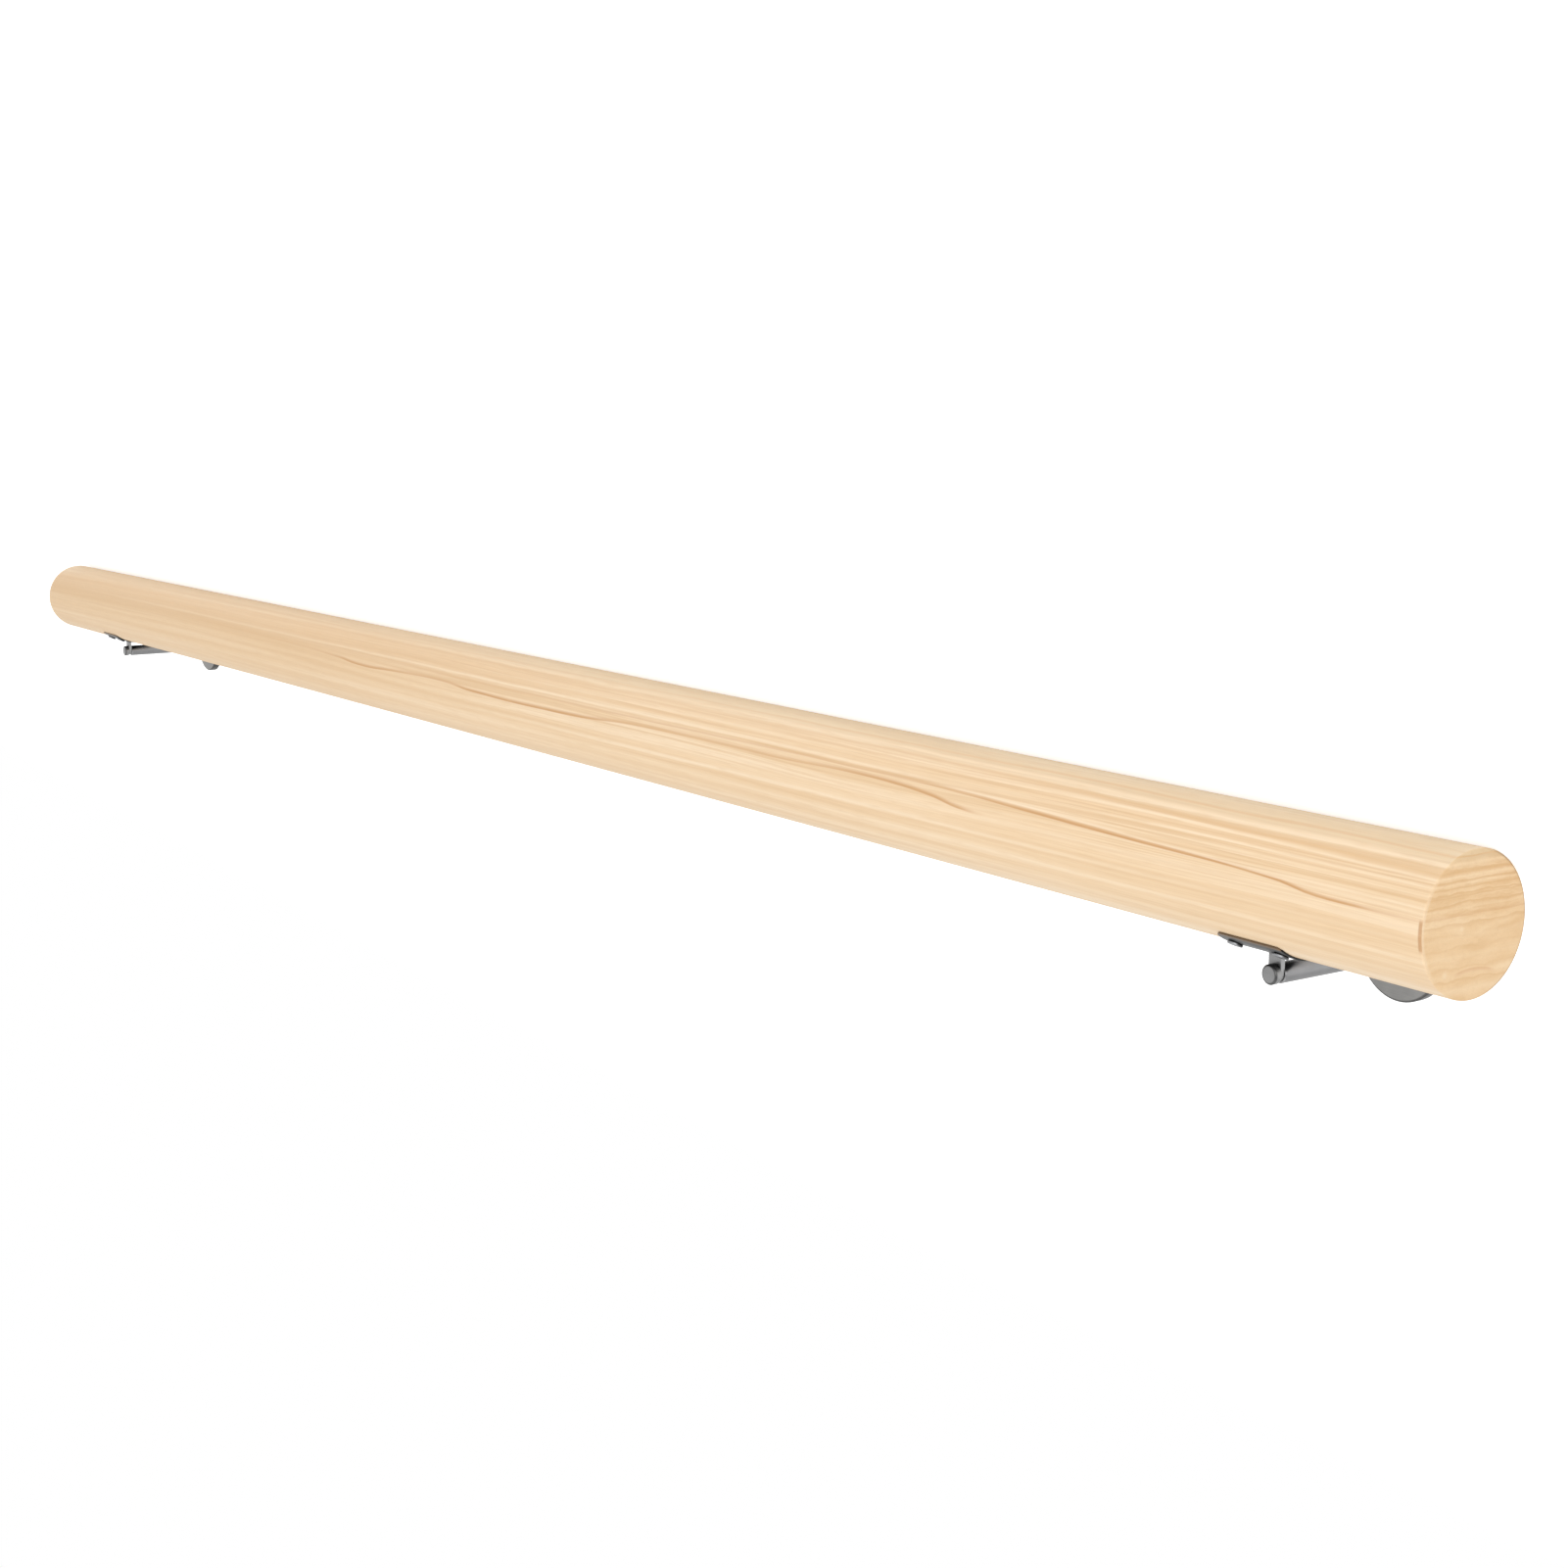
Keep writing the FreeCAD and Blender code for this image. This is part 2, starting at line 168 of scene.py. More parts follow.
# Single streaks in the wood: their colour, the two widths in millimetres over which they fade out above and
# below their path, and the path from end to end through (x from mid-length, height above the axis, strength).
# No path strays further than STREAK_REACH from the axis.
STREAK_REACH = 20
STREAK_STRENGTH = {"dark": 0.9, "tan": 0.8, "cream": 0.8}
STREAKS = {
    "upper_wash": ("tan", 4.0, 4.0, (
        (-600, 15.0, 0.35), (-200, 15.5, 0.5), (100, 15.8, 0.45), (250, 15.8, 0.2), (400, 15.8, 0.0),
        (600, 15.8, 0.0))),
    "middle_wash": ("tan", 3.5, 3.5, (
        (-600, 9.0, 0.0), (-350, 9.5, 0.2), (-150, 10.0, 0.6), (60, 10.0, 0.4), (250, 10.0, 0.1),
        (600, 10.0, 0.0))),
    "lower_wash": ("tan", 3.0, 3.0, (
        (-600, -2.0, 0.0), (-150, -2.0, 0.0), (30, -2.0, 0.5), (180, -2.0, 0.1), (600, -2.0, 0.0))),
    "long_dark": ("dark", 1.5, 0.45, (
        (-600, 7.0, 0.0), (-180, 7.3, 0.2), (-110, 5.7, 0.5), (-84, 4.4, 0.9), (-40, 5.2, 0.7),
        (12, 6.0, 0.6), (42, 4.6, 1.0), (125, 4.3, 1.0), (200, 6.6, 0.5), (300, 6.9, 0.5),
        (345, 7.7, 0.8), (385, 6.2, 0.9), (405, 4.1, 0.8), (424, 3.5, 0.0), (600, 3.5, 0.0))),
    "end_dark": ("dark", 1.2, 0.4, (
        (-600, 9.0, 0.0), (-60, 8.8, 0.1), (240, 9.2, 0.4), (340, 9.6, 0.4), (400, 9.1, 0.6),
        (430, 8.3, 0.9), (480, 7.1, 1.0), (545, 5.4, 1.0), (566, 3.3, 1.0), (582, 3.2, 0.5),
        (600, 3.2, 0.3))),
    "upper_tan": ("tan", 0.9, 0.9, (
        (-600, 17.6, 0.1), (0, 17.4, 0.5), (200, 17.1, 0.6), (400, 16.8, 0.8), (500, 16.2, 0.9),
        (600, 15.2, 0.9))),
    "edge_tan": ("tan", 0.4, 0.4, (
        (-600, 19.4, 0.2), (0, 19.2, 0.4), (300, 19.4, 0.6), (480, 19.5, 0.8), (600, 19.2, 0.8))),
    "top_cream": ("cream", 0.8, 0.8, (
        (-600, 18.6, 0.1), (0, 18.3, 0.4), (300, 18.3, 0.7), (480, 18.0, 0.8), (600, 17.3, 0.8))),
    "under_cream": ("cream", 0.7, 0.6, (
        (-600, 15.6, 0.0), (200, 15.5, 0.2), (430, 15.4, 0.5), (520, 14.9, 0.9), (600, 13.9, 0.9))),
    "second_tan": ("tan", 0.55, 0.55, (
        (-600, 13.0, 0.0), (400, 13.7, 0.1), (480, 13.4, 0.5), (600, 12.7, 0.9))),
    "third_cream": ("cream", 0.5, 0.4, (
        (-600, 12.2, 0.0), (470, 12.6, 0.0), (530, 12.3, 0.6), (600, 11.9, 0.6))),
    "third_tan": ("tan", 0.55, 0.45, (
        (-600, 11.0, 0.0), (430, 11.6, 0.1), (500, 11.5, 0.5), (600, 10.9, 0.8))),
    "fourth_tan": ("tan", 0.4, 0.4, (
        (-600, 9.4, 0.2), (300, 10.2, 0.2), (475, 10.3, 0.8), (510, 9.6, 0.6), (600, 8.6, 0.7))),
    "dark_cream": ("cream", 0.9, 0.4, (
        (-600, 9.9, 0.0), (380, 10.2, 0.0), (420, 9.7, 0.9), (500, 7.6, 0.7), (560, 5.6, 0.6),
        (600, 5.2, 0.4))),
    "upper_cream": ("cream", 0.9, 0.9, (
        (-600, 11.0, 0.0), (-60, 11.0, 0.6), (200, 11.1, 0.9), (330, 11.2, 0.8), (420, 10.6, 0.2),
        (600, 10.6, 0.0))),
    "middle_cream": ("cream", 1.5, 1.1, (
        (-600, -2.2, 0.0), (-60, -2.3, 0.2), (100, -2.7, 0.4), (200, -3.0, 0.8), (300, -2.5, 0.9),
        (430, -2.6, 0.7), (500, -2.4, 0.4), (600, -2.8, 0.3))),
    "lower_tan": ("tan", 1.0, 0.8, (
        (-600, -5.0, 0.1), (-200, -4.6, 0.2), (150, -5.2, 0.2), (240, -4.8, 0.7), (330, -5.2, 0.5),
        (400, -5.6, 0.2), (600, -5.6, 0.2))),
    "lower_cream": ("cream", 1.3, 1.1, (
        (-600, -7.4, 0.2), (-100, -7.2, 0.2), (200, -7.4, 0.2), (400, -7.6, 0.4), (600, -8.0, 0.4))),
    "low_tan": ("tan", 1.4, 1.0, (
        (-600, -10.2, 0.1), (0, -10.0, 0.2), (230, -10.4, 0.3), (330, -10.4, 0.3), (480, -10.8, 0.1),
        (600, -10.8, 0.2))),
    "low_cream": ("cream", 1.2, 1.2, (
        (-600, -13.2, 0.1), (100, -13.0, 0.1), (400, -13.2, 0.2), (600, -13.0, 0.3))),
    "bottom_cream": ("cream", 2.0, 2.5, (
        (-600, -17.5, 0.0), (250, -17.5, 0.1), (450, -17.3, 0.5), (600, -17.3, 0.8))),
}


class Shader:
    """The node tree of a material or a world, built up by short calls that each return a socket."""

    def __init__(self, owner, output="OutputMaterial"):
        self.owner = owner
        owner.use_nodes = True
        self.tree = owner.node_tree
        self.tree.nodes.clear()
        self.output = self.node(output)

    def node(self, kind, **settings):
        made = self.tree.nodes.new(f"ShaderNode{kind}")
        for name, value in settings.items():
            setattr(made, name, value)
        return made

    def feed(self, socket, value):
        if isinstance(value, bpy.types.NodeSocket):
            self.tree.links.new(value, socket)
        else:
            socket.default_value = value

    def math(self, operation, *values):
        made = self.node("Math", operation=operation)
        for socket, value in zip(made.inputs, values):
            self.feed(socket, value)
        return made.outputs[0]

    def add(self, a, b):
        return self.math("ADD", a, b)

    def multiply(self, a, b):
        return self.math("MULTIPLY", a, b)

    def radius(self, a, b):
        return self.math("SQRT", self.add(self.multiply(a, a), self.multiply(b, b)))

    def remap(self, value, low, high, to_low=0.0, to_high=1.0, smooth=True):
        made = self.node("MapRange", interpolation_type="SMOOTHSTEP" if smooth else "LINEAR")
        for socket, number in zip(made.inputs, (value, low, high, to_low, to_high)):
            self.feed(socket, number)
        return made.outputs[0]

    def band(self, value, start, full, fade, stop):
        """1 from full to fade, and softly down to 0 at start and at stop."""
        return self.multiply(self.remap(value, start, full), self.remap(value, stop, fade))

    def combine(self, x, y, z):
        made = self.node("CombineXYZ")
        for socket, value in zip(made.inputs, (x, y, z)):
            self.feed(socket, value)
        return made.outputs[0]

    def noise(self, place, sizes, detail, roughness=0.5):
        """Smooth noise about 0.5, with features of these three sizes in millimetres."""
        made = self.node("TexNoise")
        spot = (self.multiply(value, 1 / size) for value, size in zip(place, sizes))
        self.feed(made.inputs["Vector"], self.combine(*spot))
        made.inputs["Scale"].default_value = 1.0
        made.inputs["Detail"].default_value = detail
        made.inputs["Roughness"].default_value = roughness
        return made.outputs["Fac"]

    def mix(self, factor, a, b, blend="MIX"):
        """A mix of two colours, whose sockets come after the node's number and vector ones."""
        made = self.node("Mix", data_type="RGBA", blend_type=blend)
        self.feed(made.inputs[0], factor)
        self.feed(made.inputs[6], a)
        self.feed(made.inputs[7], b)
        return made.outputs[2]

    def tint(self, colour, shade):
        return self.mix(1.0, colour, self.combine(shade, shade, shade), "MULTIPLY")

    def curve(self, value, points):
        """A smooth curve through points that lie between 0 and 1 both ways."""
        made = self.node("FloatCurve")
        self.feed(made.inputs["Value"], value)
        line = made.mapping.curves[0]
        for point, spot in zip(line.points, (points[0], points[-1])):
            point.location = spot
        for spot in points[1:-1]:
            line.points.new(*spot)
        made.mapping.update()
        return made.outputs[0]

    def place(self):
        """Object coordinates in millimetres, turned as the rail hangs, as x, y and z."""
        turned = self.node("Mapping", vector_type="POINT")
        self.feed(turned.inputs["Vector"], self.node("TexCoord").outputs["Object"])
        turned.inputs["Rotation"].default_value = UNHANG.to_euler()
        turned.inputs["Scale"].default_value = (1 / MM,) * 3
        split = self.node("SeparateXYZ")
        self.feed(split.inputs[0], turned.outputs[0])
        return tuple(split.outputs)

    def seen(self):
        """1 for the camera, in reflections and through glass, and 0 for all other light."""
        path = self.node("LightPath")
        sharp = self.math("MAXIMUM", path.outputs["Is Glossy Ray"], path.outputs["Is Transmission Ray"])
        return self.math("MAXIMUM", path.outputs["Is Camera Ray"], sharp)

    def bump(self, height, distance):
        made = self.node("Bump")
        made.inputs["Strength"].default_value = 1.0
        made.inputs["Distance"].default_value = distance
        self.feed(made.inputs["Height"], height)
        return made.outputs["Normal"]

    def surface(self, **sockets):
        """The surface shader, its sockets named with underscores for spaces."""
        made = self.node("BsdfPrincipled")
        for name, value in sockets.items():
            self.feed(made.inputs[name.replace("_", " ")], value)
        return self.closed(made)

    def closed(self, last):
        """The material or world, once its last node is joined to the output."""
        self.tree.links.new(last.outputs[0], self.output.inputs[0])
        return self.owner


def rgb(red, green, blue):
    """A colour given as it looks on screen, 0 to 255, as linear values."""
    def linear(value):
        value = value / 255
        return value / 12.92 if value <= 0.04045 else ((value + 0.055) / 1.055) ** 2.4
    return (linear(red), linear(green), linear(blue), 1.0)


def growth_layers(s, place, end):
    """Nearly level planes through the rail: which layer a point is in, and how much late wood is there."""
    x, y, z = place
    wander = s.noise(place, (240, 60, 30), 1.0)
    ripple = s.noise((0.0, y, z), (1, 8, 5), 2.0)
    layer = s.add(z, s.multiply(s.add(wander, -0.5), LAYER_WANDER))
    layer = s.add(layer, s.multiply(s.multiply(s.add(ripple, -0.5), LAYER_RIPPLE), end))
    uneven = s.noise((x, 0.0, layer), (900, 1, 5), 1.0)
    ring = s.multiply(s.add(layer, s.multiply(uneven, LAYER_UNEVEN)), 1 / RING_STEP)
    late = s.band(s.math("FRACT", ring), 0.5, 0.9, 0.92, 1.0)
    chance = s.node("TexWhiteNoise", noise_dimensions="1D")
    s.feed(chance.inputs["W"], s.math("FLOOR", ring))
    return layer, s.multiply(late, s.remap(chance.outputs["Value"], 0.0, 1.0, 0.25, 1.0))


def grain_colour(s, place, layer, fine, end, tones):
    """Broad streaks, lines and fine lines along the grain, which show most in the upper half."""
    x, y, z = place
    broad = s.noise((x, y, layer), (520, 16, 5), 1.0)
    line = s.noise((x, y, layer), (260, 9, 1.5), 2.0)
    upper = s.remap(z, -4, 10, 0.45, 1.0)
    strength = s.multiply(s.multiply(upper, s.remap(end, 0.0, 1.0, 1.0, 0.5)), 0.6)
    colour = s.mix(s.multiply(s.remap(broad, 0.5, 0.7), 0.5), tones["base"], tones["cream"])
    colour = s.mix(s.multiply(s.remap(broad, 0.5, 0.32), 0.35), colour, tones["tan"])
    colour = s.mix(s.multiply(s.remap(line, 0.5, 0.68), strength), colour, tones["cream"])
    colour = s.mix(s.multiply(s.remap(line, 0.5, 0.34), strength), colour, tones["tan"])
    return s.mix(s.multiply(s.remap(fine, 0.52, 0.3), strength), colour, tones["tan"])


def streak_mask(s, x, height, above, below, path):
    """How much of one streak shows at a point, from its path along the rail."""
    length = 2 * RAIL_HALF / MM
    share = s.add(s.multiply(x, 1 / length), 0.5)
    heights = [(spot / length + 0.5, level / (2 * STREAK_REACH) + 0.5) for spot, level, strength in path]
    strengths = [(spot / length + 0.5, strength) for spot, level, strength in path]
    centre = s.multiply(s.add(s.curve(share, heights), -0.5), 2 * STREAK_REACH)
    offset = s.add(height, s.multiply(centre, -1))
    return s.multiply(s.band(offset, -below, 0, 0, above), s.curve(share, strengths))


def streaked(s, place, colour, tones):
    """The top painted paler and greyer for the light it catches, the tanner far half, most of all above the
    middle, and the single streaks.
    """
    x, y, z = place
    # Painted light: the top is paler and greyer
    colour = s.mix(s.remap(z, 15, 20.5, 0.0, 0.45), colour, tones["top"])
    far = s.remap(x, 250, -320)
    belt = s.band(z, 2, 7, 11, 17)
    colour = s.mix(s.multiply(far, s.remap(belt, 0.0, 1.0, 0.38, 0.8)), colour, tones["tan"])
    waver = s.noise((x, y, 0.0), (60, 9, 1), 1.0)
    height = s.add(z, s.multiply(s.add(waver, -0.5), 0.9))
    for kind, above, below, path in STREAKS.values():
        mask = streak_mask(s, x, height, above, below, path)
        colour = s.mix(s.multiply(mask, STREAK_STRENGTH[kind]), colour, tones[kind])
    return colour


def end_marked(s, place, end, colour, tones):
    """The sawn ends, deeper in colour, with a painted highlight on the arris and pale spots, and the near
    end's own marks.
    """
    x, y, z = place
    past = s.add(x, -RAIL_HALF / MM)
    inset = s.add(s.multiply(s.radius(y, z), -1), RAIL_RADIUS / MM)
    colour = s.mix(end, colour, s.mix(1.0, colour, tones["sawn"], "MULTIPLY"))

    # The arris has a painted highlight in front, and the near end's lies in painted shade at the back
    arris_highlight = s.multiply(s.remap(inset, 1.4, 0.7), s.multiply(end, s.remap(y, -12, -19)))
    colour = s.mix(s.multiply(arris_highlight, 0.35), colour, tones["cream"])
    shaded = s.multiply(s.remap(inset, 0.9, 0.4), s.multiply(s.remap(past, -1.0, -0.6), s.remap(y, 2, 12)))
    colour = s.mix(s.multiply(shaded, 0.6), colour, tones["shaded_arris"])

    # A brown bruise on the arris in front
    bruise = s.multiply(s.band(z, -5.6, -4.2, 2.6, 4.2), s.band(past, -1.4, -0.8, -0.2, -0.02))
    colour = s.mix(s.multiply(s.multiply(bruise, s.remap(y, 0, -1)), 0.7), colour, tones["bruise"])

    # A pressed arc low on the near end, and pale spots
    bent = s.add(s.add(z, ARC_DEPTH), s.multiply(s.multiply(y, y), ARC_BEND))
    arc = s.multiply(s.band(bent, -1.3, 0.0, 0.0, 0.5), s.band(y, -8, -5, 6, 10))
    arc = s.multiply(arc, s.remap(past, -0.5, -0.1))
    colour = s.mix(s.multiply(arc, 0.55), colour, tones["arc"])
    for across, up, width in PALE_SPOTS:
        spot = s.radius(s.add(y, -across), s.add(z, -up))
        colour = s.mix(s.multiply(end, s.remap(spot, width, 0.2, 0.0, 0.4)), colour, tones["cream"])
    return colour


def wood_material():
    """Pale softwood: growth layers nearly level as the rail hangs, with soft tan and cream streaks."""
    s = Shader(bpy.data.materials.new("rail_wood_grain"))
    tones = {name: rgb(*tone) for name, tone in WOOD_TONES.items()}
    place = s.place()
    x, y, z = place
    end = s.remap(s.math("ABSOLUTE", x), RAIL_HALF / MM - 0.35, RAIL_HALF / MM - 0.1)
    layer, late = growth_layers(s, place, end)
    fine = s.noise((x, y, layer), (90, 3, 0.5), 2.0)
    fleck = s.noise(place, (14, 1.5, 1.1), 2.0)
    fibre = s.noise(place, (11, 0.3, 0.3), 3.0, 0.6)

    # The sawn end shows the growth layers more clearly than the planed side
    colour = grain_colour(s, place, layer, fine, end, tones)
    colour = s.mix(s.multiply(late, s.remap(end, 0.0, 1.0, 0.2, 0.7)), colour, tones["tan"])
    colour = streaked(s, place, colour, tones)
    colour = end_marked(s, place, end, colour, tones)

    # Fibres and short flecks over all of it
    colour = s.tint(colour, s.remap(fibre, 0.25, 0.75, 0.965, 1.03, smooth=False))
    colour = s.mix(s.multiply(s.remap(fleck, 0.5, 0.28), 0.22), colour, tones["tan"])
    bumps = s.add(s.multiply(fibre, 0.5), s.multiply(late, -0.4))
    roughness = s.add(s.remap(fine, 0.3, 0.7, 0.44, 0.54, smooth=False), s.multiply(end, 0.2))
    return s.surface(Base_Color=colour, Roughness=roughness, Specular_IOR_Level=0.3,
                     Normal=s.bump(bumps, 0.03 * MM))


def steel_material(name, tone, along, shadow, rim=None, edge=None, painted_shade_from=None, paints_plate_reflection=False):
    """Satin grey steel, brushed along one axis, with painted shade in gaps.

    The shadow is how far the painted gap shade reaches, and how much light it keeps above and below the
    piece's origin. A rim is a turned face's radius, and the depth down to which its outer ring carries a
    painted dark reflection. An edge is half the width of the saddle, whose long edges carry a painted brown
    contact shadow and whose plate carries painted shade under the rail. The painted shade on a screw's near
    side starts at the given distance from its middle. The arm can carry a painted reflection of the dark
    plate above a line that rises towards the wall. The lengths are in millimetres."""
    s = Shader(bpy.data.materials.new(name))
    place = s.place()
    x, y, z = place
    marks = {"X": (BRUSH_LENGTH, BRUSH_WIDTH, BRUSH_WIDTH), "Y": (BRUSH_WIDTH, BRUSH_LENGTH, BRUSH_WIDTH)}
    brush = s.noise(place, marks[along], 3.0, 0.6)
    cloud = s.noise(place, (CLOUD_SIZE,) * 3, 2.0)
    # Painted shade in gaps, found by ambient occlusion, keeping its given share of light above and below the
    # origin
    occlusion = s.node("AmbientOcclusion", samples=8)
    width, above, below = shadow
    occlusion.inputs["Distance"].default_value = width * MM
    darkest = s.remap(z, -1.2, 0.4, below, above)
    painted_gap_shade = s.remap(occlusion.outputs["AO"], 0.4, 0.9, darkest, 1.0)
    shade = s.multiply(s.remap(brush, 0.25, 0.75, 0.92, 1.08, smooth=False), painted_gap_shade)
    shade = s.multiply(shade, s.remap(cloud, 0.3, 0.7, 0.94, 1.05))
    # Painted dark reflection on a turned face's outer ring, in front of the given depth
    if rim:
        size, depth = rim
        rim_painted_dark = s.remap(y, depth, depth + 0.5, 0.3, 1.0)
        shade = s.multiply(shade, s.remap(s.radius(x, z), size - 0.9, size - 0.4, 1.0, rim_painted_dark))
    # Painted shade on a screw head's near side
    if painted_shade_from:
        shade = s.multiply(shade, s.remap(x, painted_shade_from, painted_shade_from + 0.8, 1.0, 0.25))
    # Painted reflection of the dark plate on the arm, above a line that rises towards the wall
    if paints_plate_reflection:
        over_line = s.add(z, s.multiply(y, -PAINTED_REFLECTION_SLOPE))
        shade = s.multiply(shade, s.remap(over_line, 0.3, 1.2, 1.0, 0.14))
    # Painted shade on the saddle's plate under the rail
    if edge:
        shade = s.multiply(shade, s.remap(z, PLATE_FOOT, PLATE_DARK, 1.0, 0.17))
    colour = s.tint(rgb(*tone), shade)
    # Painted brown contact shadow along the saddle's long edges
    if edge:
        edge_shadow = s.remap(s.math("ABSOLUTE", y), edge - 0.75, edge - 0.4)
        colour = s.mix(s.multiply(edge_shadow, 0.9), colour, rgb(*EDGE_SHADOW_BROWN))
    roughness = s.add(s.multiply(cloud, 0.12), s.remap(brush, 0.25, 0.75, 0.26, 0.38, smooth=False))
    return s.surface(Base_Color=colour, Metallic=1.0, Roughness=roughness,
                     Normal=s.bump(brush, 0.01 * MM))


def floor_material():
    """White to the camera and in reflections, with the object's shadow kept."""
    s = Shader(bpy.data.materials.new("floor_white"))
    diffuse = s.node("BsdfDiffuse")
    diffuse.inputs["Color"].default_value = (FLOOR_TONE, FLOOR_TONE, FLOOR_TONE, 1.0)
    glow = s.node("Emission")
    glow.inputs["Color"].default_value = WHITE
    s.feed(glow.inputs["Strength"], s.add(s.multiply(s.seen(), FLOOR_SEEN), FLOOR_GLOW))
    both = s.node("AddShader")
    s.feed(both.inputs[0], diffuse.outputs[0])
    s.feed(both.inputs[1], glow.outputs[0])
    return s.closed(both)


def hanging_points(node):
    """The corners of a CAD node's mesh, in millimetres, in the hanging frame."""
    piece = frame["nodes"][node]
    return [UNHANG @ (piece.matrix_world @ v.co) / MM for v in piece.data.vertices]


def balance(points):
    """The mean of the corners, each counted once, which lies on a turned piece's axis."""
    single = {tuple(round(c, 3) for c in p) for p in points}
    return sum((Vector(p) for p in single), Vector()) / len(single)


def dress(node, mesh, material, origin=(0, 0, 0)):
    """Lays a mesh in millimetres down in place of a CAD node, which it hides, and gives it one material."""
    mesh.transform(HANG.to_3x3().to_4x4() @ Matrix.Diagonal((MM, MM, MM, 1)))
    piece = bpy.data.objects.new(f"{node}_dressed", mesh)
    bpy.context.scene.collection.objects.link(piece)
    piece.location = HANG @ (Vector(origin) * MM)
    mesh.materials.clear()
    mesh.materials.append(material)
    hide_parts(node)
    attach(piece, "root")


def finished(bm, name):
    """A mesh from a bmesh, smooth but for its sharp edges."""
    mesh = bpy.data.meshes.new(name)
    bm.to_mesh(mesh)
    bm.free()
    mesh.shade_smooth()
    mesh.set_sharp_from_angle(angle=SHARP_ANGLE)
    return mesh


def round_corner(corner, before, after, radius, steps=6):
    """Points on an arc that rounds a profile's corner between its two neighbours."""
    corner = Vector(corner)
    to_before = (Vector(before) - corner).normalized()
    to_after = (Vector(after) - corner).normalized()
    half = to_before.angle(to_after) / 2
    reach = radius / math.tan(half)
    centre = corner + (to_before + to_after).normalized() * radius / math.sin(half)
    start = corner + to_before * reach - centre
    end = corner + to_after * reach - centre
    turn = start.angle_signed(end)
    return [centre + Matrix.Rotation(-turn * i / steps, 2) @ start for i in range(steps + 1)]


def soft_profile(corners, radius):
    """A turned profile with each of its inner corners rounded, but for the nearly straight ones."""
    profile = [Vector(corners[0])]
    for before, corner, after in zip(corners, corners[1:], corners[2:]):
        bend = (Vector(corner) - Vector(before)).angle(Vector(after) - Vector(corner))
        if bend < STRAIGHT_BEND:
            continue
        side = min(math.dist(before, corner), math.dist(corner, after))
        profile += round_corner(corner, before, after, min(radius, CORNER_SHARE * side), steps=4)
    return profile + [Vector(corners[-1])]


def thread_depth(along, share, thread):
    """How deep a thread's groove is at a place along a screw and at a share of the way round it."""
    start, end = thread
    if not start < along < end:
        return 0
    phase = (along / SCREW_PITCH + share) % 1
    return THREAD_DEPTH * (0.5 - 0.5 * math.cos(2 * math.pi * phase))


def lathe(profile, segments, turn=Matrix.Identity(4), thread=(0, 0)):
    """A mesh turned about X from (along, radius) pairs, then turned by a matrix.

    A thread's groove is cut into the points that lie between its start and its end."""
    bm = bmesh.new()
    rings = []
    for along, radius in profile:
        if radius < SAME_POINT:
            rings.append([bm.verts.new((along, 0, 0))])
            continue
        ring = []
        for i in range(segments):
            angle = 2 * math.pi * i / segments
            reach = radius - thread_depth(along, i / segments, thread)
            ring.append(bm.verts.new((along, reach * math.cos(angle), reach * math.sin(angle))))
        rings.append(ring)
    for first, second in zip(rings, rings[1:]):
        for i in range(segments):
            j = (i + 1) % segments
            corners = [first[i % len(first)], first[j % len(first)],
                       second[j % len(second)], second[i % len(second)]]
            kept = list(dict.fromkeys(corners))
            if len(kept) > 2:
                bm.faces.new(kept)
    bm.transform(turn)
    bmesh.ops.recalc_face_normals(bm, faces=bm.faces)
    return finished(bm, "turned")


def turned_corners(points, centre, axis, bore=0):
    """The (along, radius) corners of a turned CAD node, down any bore that it has, then along its outside."""
    pairs = set()
    for point in points:
        along = (point - centre).dot(axis)
        pairs.add((round(along, 2), round((point - centre - axis * along).length, 2)))
    inner = sorted((p for p in pairs if p[1] < bore), reverse=True)
    outer = sorted(p for p in pairs if p[1] >= bore)
    corners = [((inner or outer)[0][0], 0.0)]
    for step in inner:
        if math.dist(step, corners[-1]) > SAME_CORNER:
            corners.append(step)
    while outer:
        step = min(outer, key=lambda p: (p[0], abs(p[1] - corners[-1][1])))
        outer.remove(step)
        if math.dist(step, corners[-1]) > SAME_CORNER:
            corners.append(step)
    return corners + [(corners[-1][0], 0.0)]


def softened(points, node, origin):
    """A CAD node's mesh about a new origin, with its sharp edges slightly rounded."""
    bm = bmesh.new()
    bm.from_mesh(frame["nodes"][node].data)
    for vert, point in zip(bm.verts, points):
        vert.co = point - origin
    bmesh.ops.remove_doubles(bm, verts=bm.verts, dist=SAME_POINT)
    bmesh.ops.dissolve_limit(bm, angle_limit=FLAT_ANGLE, verts=bm.verts, edges=bm.edges)
    sharp = [e for e in bm.edges if len(e.link_faces) == 2 and e.calc_face_angle() > BEVEL_ANGLE]
    bmesh.ops.bevel(bm, geom=sharp, offset=METAL_ARRIS, segments=ARRIS_SEGMENTS, profile=0.5,
                    affect="EDGES", clamp_overlap=True)
    bmesh.ops.recalc_face_normals(bm, faces=bm.faces)
    return finished(bm, node)


def recessed(mesh, cutter):
    """A mesh with a cutter's shape taken out of it."""
    body = bpy.data.objects.new("body", mesh)
    tool = bpy.data.objects.new("tool", cutter)
    for piece in (body, tool):
        bpy.context.scene.collection.objects.link(piece)
    cut = body.modifiers.new("cut", "BOOLEAN")
    cut.object = tool
    cut.solver = "EXACT"
    bm = bmesh.new()
    bm.from_object(body, bpy.context.evaluated_depsgraph_get())
    for piece in (body, tool):
        bpy.data.objects.remove(piece)
    bmesh.ops.remove_doubles(bm, verts=bm.verts, dist=SAME_CUT_POINT)
    return finished(bm, "recessed")


